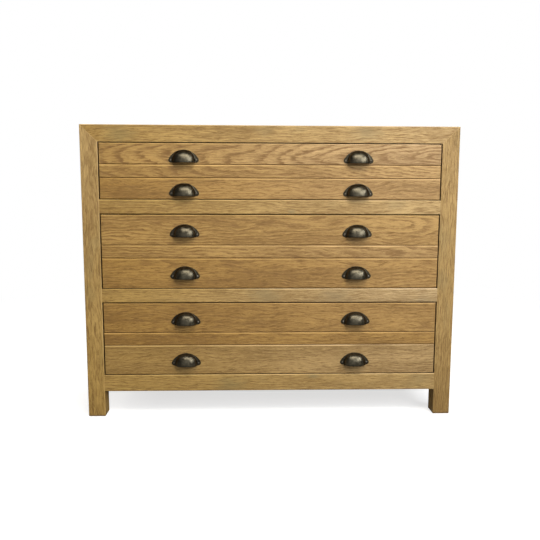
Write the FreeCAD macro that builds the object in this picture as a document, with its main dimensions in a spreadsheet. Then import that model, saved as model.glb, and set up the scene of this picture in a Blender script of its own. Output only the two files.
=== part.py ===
import FreeCAD, Part
import math
import os
import re

import Sketcher

# Oak plan chest: a mitred oak frame with panelled sides holds three wide drawers on ball-bearing slides.
# +X is to the right, +Z is up and the drawers open towards -Y. The origin is on the floor, at the
# middle of the whole chest's box, pulls included.

SIZES = {
    "cabinet_width": 1200,
    "cabinet_depth": 500,
    "cabinet_height": 945,
    "post_size": 55,
    "top_rail_height": 53,
    "divider_height": 45,
    "bottom_rail_height": 55,
    "foot_height": 85,
    "deep_opening": 241,
    "rail_depth": 40,
    "low_rail_thickness": 30,
    "arris_radius": 2,
    "foot_radius": 3,
    "rail_chamfer": 2,
    "top_thickness": 22,
    "side_thickness": 14,
    "side_inset": 10,
    "tongue_size": 8,
    "back_thickness": 9,
    "back_inset": 12,
    "floor_thickness": 9,
    "floor_drop": 14,
    "groove_width": 5,
    "groove_depth": 2.5,
    "batten_thickness": 20,
    "batten_height": 60,
    "front_thickness": 22,
    "front_setback": 1,
    "front_chamfer": 1.6,
    "front_side_gap": 3,
    "front_top_gap": 3,
    "front_bottom_gap": 2,
    "middle_board": 42,
    "box_length": 450,
    "box_wall": 12,
    "box_lift": 14,
    "box_headroom": 34,
    "back_drop": 10,
    "bottom_thickness": 6,
    "bottom_lift": 10,
    "housing_depth": 6,
    "slide_gap": 13,
    "slide_setback": 2,
    "slide_length": 450,
    "slide_wall": 1.2,
    "outer_half_height": 22.5,
    "outer_tip": 9.5,
    "middle_half_height": 17.6,
    "middle_web": 3.2,
    "middle_tip": 10.8,
    "inner_half_height": 12,
    "inner_tip": 6.2,
    "pull_spacing": 554,
    "pull_height": 40,
    "pull_reach": 26,
    "ear_radius": 8,
    "flange_thickness": 1.6,
    "dome_half_width": 36,
    "dome_height": 38.5,
    "dome_wall": 1.8,
    "screw_spacing": 79,
    "screw_hole_radius": 2.2,
    "screw_shank_radius": 1.8,
    "screw_head_radius": 3.2,
    "screw_head_height": 1.9,
    "screw_length": 14,
    "upper_pull_high": 848.5,
    "upper_pull_low": 744,
    "middle_pull_high": 614,
    "middle_pull_low": 479,
    "lower_pull_high": 329,
    "lower_pull_low": 192,
}

# Places worked out from the sizes, as expressions.
FRONT = "(pull_reach - front_setback - cabinet_depth) / 2"
BACK = f"{FRONT} + cabinet_depth"
INNER_FRONT = f"{FRONT} + post_size"
INNER_BACK = f"{BACK} - post_size"
HALF_OPENING = "(cabinet_width / 2 - post_size)"
RAIL_TOP = "foot_height + bottom_rail_height"
UNDER_TOP = "cabinet_height - top_rail_height"
SECOND_OPENING = f"{RAIL_TOP} + deep_opening + divider_height"
THIRD_OPENING = f"{SECOND_OPENING} + deep_opening + divider_height"
FRONT_FACE = f"{FRONT} + front_setback"
FRONT_BACK = f"{FRONT_FACE} + front_thickness"
HALF_BOX = f"({HALF_OPENING} - slide_gap)"

# The radius of a pull's outline where it runs over the dome and meets both ears smoothly.
FLANGE_RADIUS = (
    "(screw_spacing ^ 2 / 4 + pull_height ^ 2 - 2 * pull_height * ear_radius)"
    " / (2 * (pull_height - 2 * ear_radius))"
)

# Each drawer's opening, from its lowest to its highest point.
OPENINGS = {
    "upper": (THIRD_OPENING, UNDER_TOP),
    "middle": (SECOND_OPENING, f"{SECOND_OPENING} + deep_opening"),
    "lower": (RAIL_TOP, f"{RAIL_TOP} + deep_opening"),
}
SIDES = {"left": -1, "right": 1}
TOP_BOARDS = 5
SIDE_BOARDS = 4

# Which way a sketch on each origin plane faces, along its own axis.
FACING = {"XY": 1, "XZ": -1, "YZ": 1}

doc = FreeCAD.newDocument("PlanChest")
sheet = doc.addObject("Spreadsheet::Sheet", "Sizes")
nodes = []


def fill_sheet():
    for row, (name, value) in enumerate(SIZES.items(), start=1):
        sheet.set(f"A{row}", name)
        sheet.set(f"B{row}", str(value))
        sheet.setAlias(f"B{row}", name)
    doc.recompute()


def sized(text):
    """The expression with each size read from the sheet."""
    return re.sub(r"[a-z]\w*", r"Sizes.\g<0>", str(text))


def value(text):
    """The number that an expression comes to."""
    return float(sheet.evalExpression(sized(text)))


def bind(thing, **properties):
    """Ties properties of an object to expressions; a double underscore stands for a dot."""
    for name, text in properties.items():
        thing.setExpression(name.replace("__", "."), sized(text))


def keep(thing, label):
    """Makes an object a sub-part, which is written to a file of its label's name."""
    thing.Label = label
    nodes.append(thing)
    return thing


# ---------------------------------------------------------------- sketches and features


def new_sketch(body, plane, level):
    """An empty sketch parallel to an origin plane, at a level along that plane's axis."""
    base = next(one for one in body.Origin.OriginFeatures if one.Role == f"{plane}_Plane")
    sketch = body.newObject("Sketcher::SketchObject", "Sketch")
    sketch.AttachmentSupport = (base, [""])
    sketch.MapMode = "FlatFace"
    bind(sketch, AttachmentOffset__Base__z=f"{FACING[plane]} * ({level})")
    return sketch


def hold(sketch, geometry, point, place):
    """Holds a point of a sketch at its two expressions."""
    for way, text in zip(("DistanceX", "DistanceY"), place):
        held = sketch.addConstraint(Sketcher.Constraint(way, geometry, point, value(text)))
        sketch.setExpression(f"Constraints[{held}]", sized(text))


def draw_outline(sketch, corners):
    """A closed outline of straight lines, with each corner held at its place."""
    spots = [FreeCAD.Vector(value(across), value(up), 0) for across, up in corners]
    count = len(spots)
    for i in range(count):
        sketch.addGeometry(Part.LineSegment(spots[i], spots[(i + 1) % count]), False)
    for i in range(count):
        sketch.addConstraint(Sketcher.Constraint("Coincident", i, 2, (i + 1) % count, 1))
        hold(sketch, i, 1, corners[i])


def draw_circles(sketch, centres, radius):
    for i, centre in enumerate(centres):
        spot = FreeCAD.Vector(value(centre[0]), value(centre[1]), 0)
        sketch.addGeometry(Part.Circle(spot, FreeCAD.Vector(0, 0, 1), value(radius)), False)
        hold(sketch, i, 3, centre)
        held = sketch.addConstraint(Sketcher.Constraint("Radius", i, value(radius)))
        sketch.setExpression(f"Constraints[{held}]", sized(radius))


def new_body(name):
    return doc.addObject("PartDesign::Body", name)


def pad(body, plane, start, end, corners):
    """Grows an outline along its plane's axis, from start to end."""
    sketch = new_sketch(body, plane, start)
    draw_outline(sketch, corners)
    grown = body.newObject("PartDesign::Pad", "Pad")
    grown.Profile = sketch
    grown.Reversed = FACING[plane] < 0
    bind(grown, Length=f"({end}) - ({start})")
    return grown


def pocket(body, plane, start, end, *outlines):
    """Cuts outlines along their plane's axis, from start to end, and checks that each cut removes wood."""
    for corners in outlines:
        sketch = new_sketch(body, plane, start)
        draw_outline(sketch, corners)
        doc.recompute()
        before = body.Shape.Volume
        cut = body.newObject("PartDesign::Pocket", "Pocket")
        cut.Profile = sketch
        cut.Reversed = FACING[plane] > 0
        bind(cut, Length=f"({end}) - ({start})")
        doc.recompute()
        if body.Shape.Volume >= before:
            raise RuntimeError(f"{body.Label}: a pocket cut nothing")


def edges_where(body, test):
    """Names of the body's edges whose middle point passes the test."""
    doc.recompute()
    found = []
    for i, edge in enumerate(body.Shape.Edges, start=1):
        middle = edge.valueAt((edge.FirstParameter + edge.LastParameter) / 2)
        if test(middle, edge):
            found.append(f"Edge{i}")
    return found


def round_edges(body, radius, test):
    base = (body.Tip, edges_where(body, test))
    rounded = body.newObject("PartDesign::Fillet", "Fillet")
    rounded.Base = base
    bind(rounded, Radius=radius)


def bevel_edges(body, size, test):
    base = (body.Tip, edges_where(body, test))
    bevelled = body.newObject("PartDesign::Chamfer", "Chamfer")
    bevelled.Base = base
    bind(bevelled, Size=size)


def near(number, text):
    return abs(number - value(text)) < 0.01


def rectangle(left, right, low, high):
    return [(left, low), (right, low), (right, high), (left, high)]


def box(name, across, along, up):
    """A board between pairs of expressions in X, Y and Z."""
    board = doc.addObject("Part::Box", name)
    for size, place, (start, end) in zip(
        ("Length", "Width", "Height"), ("x", "y", "z"), (across, along, up)
    ):
        board.setExpression(size, sized(f"({end}) - ({start})"))
        board.setExpression(f"Placement.Base.{place}", sized(start))
    return board


def group(label, pieces):
    """Separate solids that share one node."""
    joined = doc.addObject("Part::Compound", label)
    joined.Links = pieces
    return keep(joined, label)


# ---------------------------------------------------------------- frame


def tongue_of_side(side):
    """The outer and inner faces of a side panel's tongue, which is in the middle of its thickness."""
    middle = "cabinet_width / 2 - side_inset - side_thickness / 2"
    return f"{side} * ({middle} + tongue_size / 2)", f"{side} * ({middle} - tongue_size / 2)"


def make_post(label, side, outer, inner, panel_edge):
    """A square post, mitred at the top both ways, grooved for the side and back panels."""
    body = new_body(label)
    out_x = f"{side} * cabinet_width / 2"
    in_x = f"{side} * {HALF_OPENING}"
    pad(body, "XY", "0", "cabinet_height", rectangle(out_x, in_x, outer, inner))
    round_edges(body, "arris_radius", lambda spot, edge: near(spot.x, out_x) and near(spot.y, outer))
    round_edges(body, "foot_radius", lambda spot, edge: near(spot.z, "0") and edge.Length > 10)
    low_y, high_y = sorted((outer, inner), key=value)
    low_x, high_x = sorted((out_x, in_x), key=value)
    pocket(
        body, "XZ", low_y, high_y,
        [(in_x, UNDER_TOP), (in_x, "cabinet_height"), (out_x, "cabinet_height")],
    )
    pocket(
        body, "YZ", low_x, high_x,
        [(inner, UNDER_TOP), (inner, "cabinet_height"), (outer, "cabinet_height")],
    )
    tongue = tongue_of_side(side)
    pocket(body, "XY", RAIL_TOP, UNDER_TOP, rectangle(*tongue, inner, panel_edge))
    if outer == BACK:
        pocket(
            body, "XY", RAIL_TOP, UNDER_TOP,
            rectangle(
                in_x, f"{side} * ({HALF_OPENING} + tongue_size)",
                f"{BACK} - back_inset - back_thickness", f"{BACK} - back_inset",
            ),
        )
    keep(body, label)


def make_posts():
    for side_name, side in SIDES.items():
        make_post(f"front_{side_name}_post", side, FRONT, INNER_FRONT, f"{INNER_FRONT} - tongue_size")
        make_post(f"back_{side_name}_post", side, BACK, INNER_BACK, f"{INNER_BACK} + tongue_size")


TONGUE_HIGH = "cabinet_height - (top_thickness - tongue_size) / 2"
TONGUE_LOW = "cabinet_height - (top_thickness + tongue_size) / 2"


def make_cross_top_rail(label, outer, inner, groove_bottom):
    """The front or back rail of the top frame, with its ends mitred and a groove for the top."""
    body = new_body(label)
    half = "cabinet_width / 2"
    low_y, high_y = sorted((outer, inner), key=value)
    pad(
        body, "XZ", low_y, high_y,
        [
            (f"-{half}", "cabinet_height"), (half, "cabinet_height"),
            (HALF_OPENING, UNDER_TOP), (f"-{HALF_OPENING}", UNDER_TOP),
        ],
    )
    round_edges(
        body, "arris_radius",
        lambda spot, edge: near(spot.y, outer) and near(spot.z, "cabinet_height"),
    )
    for side in SIDES.values():
        pocket(
            body, "XY", UNDER_TOP, "cabinet_height",
            [
                (f"{side} * {half}", outer), (f"{side} * {half}", inner),
                (f"{side} * {HALF_OPENING}", inner),
            ],
        )
    pocket(
        body, "XY", TONGUE_LOW, TONGUE_HIGH,
        rectangle(f"-{HALF_OPENING}", HALF_OPENING, inner, groove_bottom),
    )
    keep(body, label)


def make_side_top_rail(label, side):
    """The left or right rail of the top frame, with both ends mitred."""
    body = new_body(label)
    out_x = f"{side} * cabinet_width / 2"
    in_x = f"{side} * {HALF_OPENING}"
    low_x, high_x = sorted((out_x, in_x), key=value)
    pad(
        body, "YZ", low_x, high_x,
        [
            (FRONT, "cabinet_height"), (BACK, "cabinet_height"),
            (INNER_BACK, UNDER_TOP), (INNER_FRONT, UNDER_TOP),
        ],
    )
    round_edges(
        body, "arris_radius",
        lambda spot, edge: near(spot.x, out_x) and near(spot.z, "cabinet_height"),
    )
    for outer, inner in ((FRONT, INNER_FRONT), (BACK, INNER_BACK)):
        pocket(
            body, "XY", UNDER_TOP, "cabinet_height",
            [(out_x, outer), (in_x, outer), (in_x, inner)],
        )
    keep(body, label)


def make_front_rail(label, low, high):
    """A rail across the front, with its two front arrises bevelled."""
    body = new_body(label)
    pad(
        body, "YZ", f"-{HALF_OPENING}", HALF_OPENING,
        [
            (FRONT, f"{low} + rail_chamfer"), (f"{FRONT} + rail_chamfer", low),
            (f"{FRONT} + rail_depth", low), (f"{FRONT} + rail_depth", high),
            (f"{FRONT} + rail_chamfer", high), (FRONT, f"{high} - rail_chamfer"),
        ],
    )
    keep(body, label)


def make_rails():
    make_cross_top_rail("top_front_rail", FRONT, INNER_FRONT, f"{INNER_FRONT} - tongue_size")
    make_cross_top_rail("top_back_rail", BACK, INNER_BACK, f"{INNER_BACK} + tongue_size")
    for side_name, side in SIDES.items():
        make_side_top_rail(f"top_{side_name}_rail", side)
    make_front_rail("upper_divider_rail", f"{THIRD_OPENING} - divider_height", THIRD_OPENING)
    make_front_rail("lower_divider_rail", f"{SECOND_OPENING} - divider_height", SECOND_OPENING)
    make_front_rail("bottom_front_rail", "foot_height", RAIL_TOP)
    low = ("foot_height", RAIL_TOP)
    across = (f"-{HALF_OPENING}", HALF_OPENING)
    keep(box("BackRail", across, (f"{BACK} - low_rail_thickness", BACK), low), "bottom_back_rail")
    along = (INNER_FRONT, INNER_BACK)
    half = "cabinet_width / 2"
    keep(box("LeftRail", (f"-{half}", f"low_rail_thickness - {half}"), along, low), "bottom_left_rail")
    keep(box("RightRail", (f"{half} - low_rail_thickness", half), along, low), "bottom_right_rail")


# ---------------------------------------------------------------- panels


def notches(surface, bottom, places):
    """The corners of V-grooves in a face, in the order of the places."""
    corners = []
    for place in places:
        corners += [
            (surface, f"{place} - groove_width / 2"),
            (bottom, place),
            (surface, f"{place} + groove_width / 2"),
        ]
    return corners


def seams_between(boards):
    """Where a panel's boards of equal width meet, from the front to the back."""
    width = f"(cabinet_depth - 2 * post_size) / {boards}"
    return [f"{INNER_FRONT} + {i} * {width}" for i in range(1, boards)]


def make_top_panel():
    """Glued boards with V-grooves between them, tongued into the front and back rails."""
    body = new_body("top_panel")
    grooves = notches("cabinet_height", "cabinet_height - groove_depth", seams_between(TOP_BOARDS))
    under = "cabinet_height - top_thickness"
    pad(
        body, "YZ", f"-{HALF_OPENING}", HALF_OPENING,
        [
            (INNER_FRONT, under), (INNER_FRONT, TONGUE_LOW),
            (f"{INNER_FRONT} - tongue_size", TONGUE_LOW), (f"{INNER_FRONT} - tongue_size", TONGUE_HIGH),
            (INNER_FRONT, TONGUE_HIGH), (INNER_FRONT, "cabinet_height"),
        ]
        + [(along, up) for up, along in grooves]
        + [
            (INNER_BACK, "cabinet_height"), (INNER_BACK, TONGUE_HIGH),
            (f"{INNER_BACK} + tongue_size", TONGUE_HIGH), (f"{INNER_BACK} + tongue_size", TONGUE_LOW),
            (INNER_BACK, TONGUE_LOW), (INNER_BACK, under),
        ],
    )
    keep(body, "top_panel")


def make_side_panel(label, side):
    """Upright boards with V-grooves between them, tongued into the posts."""
    body = new_body(label)
    face = f"{side} * (cabinet_width / 2 - side_inset)"
    rear = f"{side} * (cabinet_width / 2 - side_inset - side_thickness)"
    tongue_out, tongue_in = tongue_of_side(side)
    groove_bottom = f"{side} * (cabinet_width / 2 - side_inset - groove_depth)"
    pad(
        body, "XY", RAIL_TOP, UNDER_TOP,
        [
            (rear, INNER_FRONT), (tongue_in, INNER_FRONT),
            (tongue_in, f"{INNER_FRONT} - tongue_size"), (tongue_out, f"{INNER_FRONT} - tongue_size"),
            (tongue_out, INNER_FRONT), (face, INNER_FRONT),
        ]
        + notches(face, groove_bottom, seams_between(SIDE_BOARDS))
        + [
            (face, INNER_BACK), (tongue_out, INNER_BACK),
            (tongue_out, f"{INNER_BACK} + tongue_size"), (tongue_in, f"{INNER_BACK} + tongue_size"),
            (tongue_in, INNER_BACK), (rear, INNER_BACK),
        ],
    )
    keep(body, label)


def make_back_panel():
    reach = f"{HALF_OPENING} + tongue_size"
    panel = box(
        "BackPanel", (f"-({reach})", reach),
        (f"{BACK} - back_inset - back_thickness", f"{BACK} - back_inset"), (RAIL_TOP, UNDER_TOP),
    )
    keep(panel, "back_panel")


def make_floor_panel():
    """The chest's floor, notched round the four posts."""
    body = new_body("floor_panel")
    wide = "(cabinet_width / 2 - low_rail_thickness)"
    front = f"{FRONT} + rail_depth"
    back = f"{BACK} - low_rail_thickness"
    corners = [
        (f"-{HALF_OPENING}", front), (HALF_OPENING, front), (HALF_OPENING, INNER_FRONT),
        (wide, INNER_FRONT), (wide, INNER_BACK), (HALF_OPENING, INNER_BACK),
        (HALF_OPENING, back), (f"-{HALF_OPENING}", back), (f"-{HALF_OPENING}", INNER_BACK),
        (f"-{wide}", INNER_BACK), (f"-{wide}", INNER_FRONT), (f"-{HALF_OPENING}", INNER_FRONT),
    ]
    high = f"{RAIL_TOP} - floor_drop"
    pad(body, "XY", f"{high} - floor_thickness", high, corners)
    keep(body, "floor_panel")


def make_panels():
    make_top_panel()
    for side_name, side in SIDES.items():
        make_side_panel(f"{side_name}_side_panel", side)
    make_back_panel()
    make_floor_panel()


# ---------------------------------------------------------------- slides


def box_low(name):
    """The underside of a drawer's box."""
    return f"{OPENINGS[name][0]} + box_lift"


def box_high(name):
    return f"{OPENINGS[name][1]} - box_headroom"


def slide_centre(name):
    return f"({box_low(name)} + {box_high(name)}) / 2"


def make_battens():
    """Upright boards between the posts, one behind each slide."""
    for side_name, side in SIDES.items():
        edges = (f"{side} * {HALF_OPENING}", f"{side} * ({HALF_OPENING} + batten_thickness)")
        across = tuple(sorted(edges, key=value))
        battens = []
        for name in OPENINGS:
            up = (
                f"{slide_centre(name)} - batten_height / 2",
                f"{slide_centre(name)} + batten_height / 2",
            )
            battens.append(box(f"{name}_batten", across, (INNER_FRONT, INNER_BACK), up))
        group(f"{side_name}_slide_battens", battens)


def make_channel(name, side, half_height, web, tip, wall):
    """One folded steel channel of a slide; web, tip and wall are measured inwards from the post."""
    body = new_body("Channel")
    middle = slide_centre(name)

    def spot(inwards, up):
        return (f"{side} * ({HALF_OPENING} - ({inwards}))", f"{middle} + {up}")

    inside = f"{web} + {wall}"
    start = f"{FRONT_BACK} + slide_setback"
    pad(
        body, "XZ", start, f"{start} + slide_length",
        [
            spot(web, f"-{half_height}"), spot(tip, f"-{half_height}"),
            spot(tip, f"slide_wall - {half_height}"), spot(inside, f"slide_wall - {half_height}"),
            spot(inside, f"{half_height} - slide_wall"), spot(tip, f"{half_height} - slide_wall"),
            spot(tip, half_height), spot(web, half_height),
        ],
    )
    return body


def make_slides(name):
    """The outer, middle and inner channels of a drawer's two slides, nested with room for the balls."""
    members = {
        "outer": ("outer_half_height", "0", "outer_tip", "slide_wall"),
        "middle": ("middle_half_height", "middle_web", "middle_tip", "slide_wall"),
        "inner": ("inner_half_height", "slide_gap", "inner_tip", "-slide_wall"),
    }
    for member, shape in members.items():
        pair = [make_channel(name, side, *shape) for side in SIDES.values()]
        group(f"{name}_slide_{member}_channels", pair)


# ---------------------------------------------------------------- drawers


def make_drawer_front(name):
    """A front of two wide boards and a narrow one between them, parted by V-grooves."""
    label = f"{name}_drawer_front"
    body = new_body(label)
    low = f"{OPENINGS[name][0]} + front_bottom_gap"
    high = f"{OPENINGS[name][1]} - front_top_gap"
    centre = f"({low} + {high}) / 2"
    seams = [f"{centre} - middle_board / 2", f"{centre} + middle_board / 2"]
    half = f"({HALF_OPENING} - front_side_gap)"
    face = FRONT_FACE
    pad(
        body, "YZ", f"-{half}", half,
        [(FRONT_BACK, low), (face, low)]
        + notches(face, f"{face} + groove_depth", seams)
        + [(face, high), (FRONT_BACK, high)],
    )

    def is_outer_arris(spot, edge):
        at_end = near(abs(spot.x), half)
        at_top_or_bottom = near(spot.z, low) or near(spot.z, high)
        return near(spot.y, face) and (at_end or at_top_or_bottom)

    bevel_edges(body, "front_chamfer", is_outer_arris)
    groove_low = f"{box_low(name)} + bottom_lift"
    reach = f"({HALF_BOX} - box_wall + housing_depth)"
    pocket(
        body, "XY", groove_low, f"{groove_low} + bottom_thickness",
        rectangle(f"-{reach}", reach, f"{FRONT_BACK} - housing_depth", FRONT_BACK),
    )
    keep(body, label)


def make_drawer_side(name, side_name):
    """A drawer side with a groove near its lower edge for the bottom."""
    label = f"{name}_drawer_{side_name}_side"
    side = SIDES[side_name]
    body = new_body(label)
    low = box_low(name)
    high = box_high(name)
    groove_low = f"{low} + bottom_lift"
    groove_high = f"{groove_low} + bottom_thickness"
    out_x = f"{side} * {HALF_BOX}"
    in_x = f"{side} * ({HALF_BOX} - box_wall)"
    groove_x = f"{side} * ({HALF_BOX} - box_wall + housing_depth)"
    pad(
        body, "XZ", FRONT_BACK, f"{FRONT_BACK} + box_length",
        [
            (out_x, low), (out_x, high), (in_x, high), (in_x, groove_high),
            (groove_x, groove_high), (groove_x, groove_low), (in_x, groove_low), (in_x, low),
        ],
    )
    keep(body, label)


def make_drawer(name):
    make_drawer_front(name)
    for side_name in SIDES:
        make_drawer_side(name, side_name)
    inside = f"({HALF_BOX} - box_wall)"
    end = f"{FRONT_BACK} + box_length"
    floor_low = f"{box_low(name)} + bottom_lift"
    floor_high = f"{floor_low} + bottom_thickness"
    back = box(
        "DrawerBack", (f"-{inside}", inside), (f"{end} - box_wall", end),
        (floor_high, f"{box_high(name)} - back_drop"),
    )
    keep(back, f"{name}_drawer_back")
    reach = f"({inside} + housing_depth)"
    bottom = box(
        "DrawerBottom", (f"-{reach}", reach), (f"{FRONT_BACK} - housing_depth", end),
        (floor_low, floor_high),
    )
    keep(bottom, f"{name}_drawer_bottom")


# ---------------------------------------------------------------- pulls


def half_ellipsoid(body, kind, half_width, reach, height):
    """The quarter of an ellipsoid that stands above its middle and in front of the drawer."""
    bulge = body.newObject(kind, "Dome")
    bulge.Angle1 = 0
    bulge.Angle2 = 90
    bulge.Angle3 = 180
    bind(bulge, Radius1=height, Radius2=half_width, Radius3=reach)
    return bulge


def draw_flange(sketch):
    """A flange's outline: an arc over the dome that runs down into a round ear at each end."""
    ear_x = value("screw_spacing / 2")
    ear = value("ear_radius")
    arc_radius = value(FLANGE_RADIUS)
    middle = FreeCAD.Vector(0, value("pull_height") - arc_radius, 0)
    right = FreeCAD.Vector(ear_x, ear, 0)
    left = FreeCAD.Vector(-ear_x, ear, 0)
    slope = math.atan2(ear - middle.y, ear_x)

    def arc(centre, radius, start, end):
        circle = Part.Circle(centre, FreeCAD.Vector(0, 0, 1), radius)
        return Part.ArcOfCircle(circle, start, end)

    pieces = [
        arc(right, ear, -math.pi / 2, slope),
        arc(middle, arc_radius, slope, math.pi - slope),
        arc(left, ear, math.pi - slope, math.pi * 1.5),
        Part.LineSegment(FreeCAD.Vector(-ear_x, 0, 0), FreeCAD.Vector(ear_x, 0, 0)),
    ]
    for piece in pieces:
        sketch.addGeometry(piece, False)
    for i in range(len(pieces)):
        sketch.addConstraint(Sketcher.Constraint("Tangent", i, 2, (i + 1) % len(pieces), 1))
    hold(sketch, 0, 3, ("screw_spacing / 2", "ear_radius"))
    hold(sketch, 2, 3, ("-screw_spacing / 2", "ear_radius"))
    for number, radius in enumerate(("ear_radius", FLANGE_RADIUS, "ear_radius")):
        held = sketch.addConstraint(Sketcher.Constraint("Radius", number, value(radius)))
        sketch.setExpression(f"Constraints[{held}]", sized(radius))


def place_on_front(thing, across, low):
    """Turns a pull, drawn with +Y outwards, to face -Y on a drawer front."""
    thing.Placement = FreeCAD.Placement(
        FreeCAD.Vector(value(across), value(FRONT_FACE), value(low)),
        FreeCAD.Rotation(FreeCAD.Vector(0, 0, 1), 180),
    )
    bind(thing, Placement__Base__x=across, Placement__Base__y=FRONT_FACE, Placement__Base__z=low)


def make_pull(label, across, low):
    """A cast cup pull: a hollow quarter dome on a flange with a screw hole in each ear."""
    body = new_body(label)
    half_ellipsoid(body, "PartDesign::AdditiveEllipsoid", "dome_half_width", "pull_reach", "dome_height")
    sketch = new_sketch(body, "XZ", "0")
    draw_flange(sketch)
    flange = body.newObject("PartDesign::Pad", "Flange")
    flange.Profile = sketch
    flange.Reversed = True
    bind(flange, Length="flange_thickness")
    hollow = half_ellipsoid(
        body, "PartDesign::SubtractiveEllipsoid",
        "dome_half_width - dome_wall", "pull_reach - dome_wall", "dome_height - dome_wall",
    )
    doc.recompute()
    holes_sketch = new_sketch(body, "XZ", "0")
    draw_circles(
        holes_sketch,
        [(f"{side} * screw_spacing / 2", "ear_radius") for side in SIDES.values()],
        "screw_hole_radius",
    )
    holes = body.newObject("PartDesign::Pocket", "ScrewHoles")
    holes.Profile = holes_sketch
    bind(holes, Length="flange_thickness")
    doc.recompute()
    if holes.Shape.Volume >= hollow.Shape.Volume:
        raise RuntimeError(f"{label}: the screw holes cut nothing")
    place_on_front(body, across, low)
    keep(body, label)


def make_screw(across, up):
    """A round-headed wood screw through a flange, pointing into the drawer front."""
    head = doc.addObject("Part::Cylinder", "ScrewHead")
    bind(head, Radius="screw_head_radius", Height="screw_head_height")
    shank = doc.addObject("Part::Cylinder", "ScrewShank")
    bind(shank, Radius="screw_shank_radius", Height="screw_length + flange_thickness")
    face = f"{FRONT_FACE} - flange_thickness"
    for piece in (head, shank):
        piece.Placement.Rotation = FreeCAD.Rotation(FreeCAD.Vector(1, 0, 0), 90)
        bind(piece, Placement__Base__x=across, Placement__Base__z=up)
    bind(head, Placement__Base__y=face)
    bind(shank, Placement__Base__y=f"{FRONT_FACE} + screw_length")
    screw = doc.addObject("Part::Fuse", "Screw")
    screw.Base = head
    screw.Tool = shank
    return screw


def make_pulls(name):
    """Four pulls and their screws on a drawer: a row on each wide board."""
    screws = []
    for row in ("high", "low"):
        low = f"{name}_pull_{row} - pull_height / 2"
        for side_name, side in SIDES.items():
            across = f"{side} * pull_spacing / 2"
            make_pull(f"{name}_drawer_{row}_{side_name}_pull", across, low)
            for end in SIDES.values():
                screws.append(make_screw(f"{across} + {end} * screw_spacing / 2", f"{low} + ear_radius"))
    group(f"{name}_drawer_pull_screws", screws)


# ---------------------------------------------------------------- the whole chest


def check_document():
    """Stops if an object failed to compute, or a sub-part isn't whole."""
    doc.recompute()
    for thing in doc.Objects:
        if "Invalid" in thing.State or "Error" in thing.State:
            raise RuntimeError(f"{thing.Name} ({thing.Label}) failed: {thing.State}")
    for node in nodes:
        if node.Shape.isNull() or not node.Shape.isValid():
            raise RuntimeError(f"{node.Label} has no valid shape")


def write_parts():
    os.makedirs("parts", exist_ok=True)
    for node in nodes:
        node.Shape.exportStep(f"parts/{node.Label}.step")


fill_sheet()
make_posts()
make_rails()
make_panels()
make_battens()
for drawer in OPENINGS:
    make_slides(drawer)
    make_drawer(drawer)
    make_pulls(drawer)
check_document()
write_parts()
print(len(nodes), "sub-parts written")
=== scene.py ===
import math

import bmesh
import bpy
from mathutils import Matrix, Vector


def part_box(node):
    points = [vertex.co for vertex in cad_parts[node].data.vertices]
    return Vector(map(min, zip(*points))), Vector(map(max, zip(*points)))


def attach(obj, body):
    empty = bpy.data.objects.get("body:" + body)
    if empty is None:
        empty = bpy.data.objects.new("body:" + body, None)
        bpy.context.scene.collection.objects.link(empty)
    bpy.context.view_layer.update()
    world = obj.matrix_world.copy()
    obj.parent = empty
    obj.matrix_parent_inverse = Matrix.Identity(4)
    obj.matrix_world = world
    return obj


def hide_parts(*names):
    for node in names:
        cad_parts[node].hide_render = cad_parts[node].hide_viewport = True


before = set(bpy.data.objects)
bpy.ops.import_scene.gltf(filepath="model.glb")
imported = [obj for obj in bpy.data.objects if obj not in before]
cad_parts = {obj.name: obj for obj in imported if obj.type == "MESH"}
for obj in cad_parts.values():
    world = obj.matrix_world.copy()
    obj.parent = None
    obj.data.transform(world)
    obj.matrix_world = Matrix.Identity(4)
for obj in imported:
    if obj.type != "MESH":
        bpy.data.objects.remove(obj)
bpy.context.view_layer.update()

DRAWERS = ("upper", "middle", "lower")
SIDES = {"left": -1, "right": 1}
MM = 0.001


# ---------------------------------------------------------------- places read from the frame

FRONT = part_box("front_left_post")[0].y


def middle_of(node):
    low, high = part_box(node)
    return (low + high) / 2


# ---------------------------------------------------------------- camera, lights and floor

CAMERA_DISTANCE = 1.995
CAMERA_LEFT = 0.069
CAMERA_HEIGHT = 0.745
CAMERA_TURN = math.radians(1.88)
CAMERA_TILT = math.radians(7.36)
CAMERA_ROLL = math.radians(0.2)
CAMERA_LENS = 41.5

ROOM_LIGHT = 0.12
FLOOR_GLOW = 0.68


def make_camera():
    """A camera in front of the chest, a little to the left, level with the divider and tilted down."""
    ahead = Vector(
        (
            math.sin(CAMERA_TURN) * math.cos(CAMERA_TILT),
            math.cos(CAMERA_TURN) * math.cos(CAMERA_TILT),
            -math.sin(CAMERA_TILT),
        )
    )
    right = Vector((math.cos(CAMERA_TURN), -math.sin(CAMERA_TURN), 0))
    up = right.cross(ahead)
    rolled_right = right * math.cos(CAMERA_ROLL) + up * math.sin(CAMERA_ROLL)
    rolled_up = up * math.cos(CAMERA_ROLL) - right * math.sin(CAMERA_ROLL)
    data = bpy.data.cameras.new("camera")
    data.lens = CAMERA_LENS
    data.sensor_width = 36
    camera = bpy.data.objects.new("camera", data)
    turn = Matrix((rolled_right, rolled_up, -ahead)).transposed().to_4x4()
    place = Vector((-CAMERA_LEFT, FRONT - CAMERA_DISTANCE, CAMERA_HEIGHT))
    camera.matrix_world = Matrix.Translation(place) @ turn
    bpy.context.scene.collection.objects.link(camera)
    bpy.context.scene.camera = camera


def make_softbox(name, place, aim, width, height, power, colour):
    data = bpy.data.lights.new(name, "AREA")
    data.shape = "RECTANGLE"
    data.size = width
    data.size_y = height
    data.energy = power
    data.color = colour
    lamp = bpy.data.objects.new(name, data)
    lamp.location = place
    lamp.rotation_euler = (Vector(aim) - Vector(place)).to_track_quat("-Z", "Y").to_euler()
    bpy.context.scene.collection.objects.link(lamp)


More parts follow.
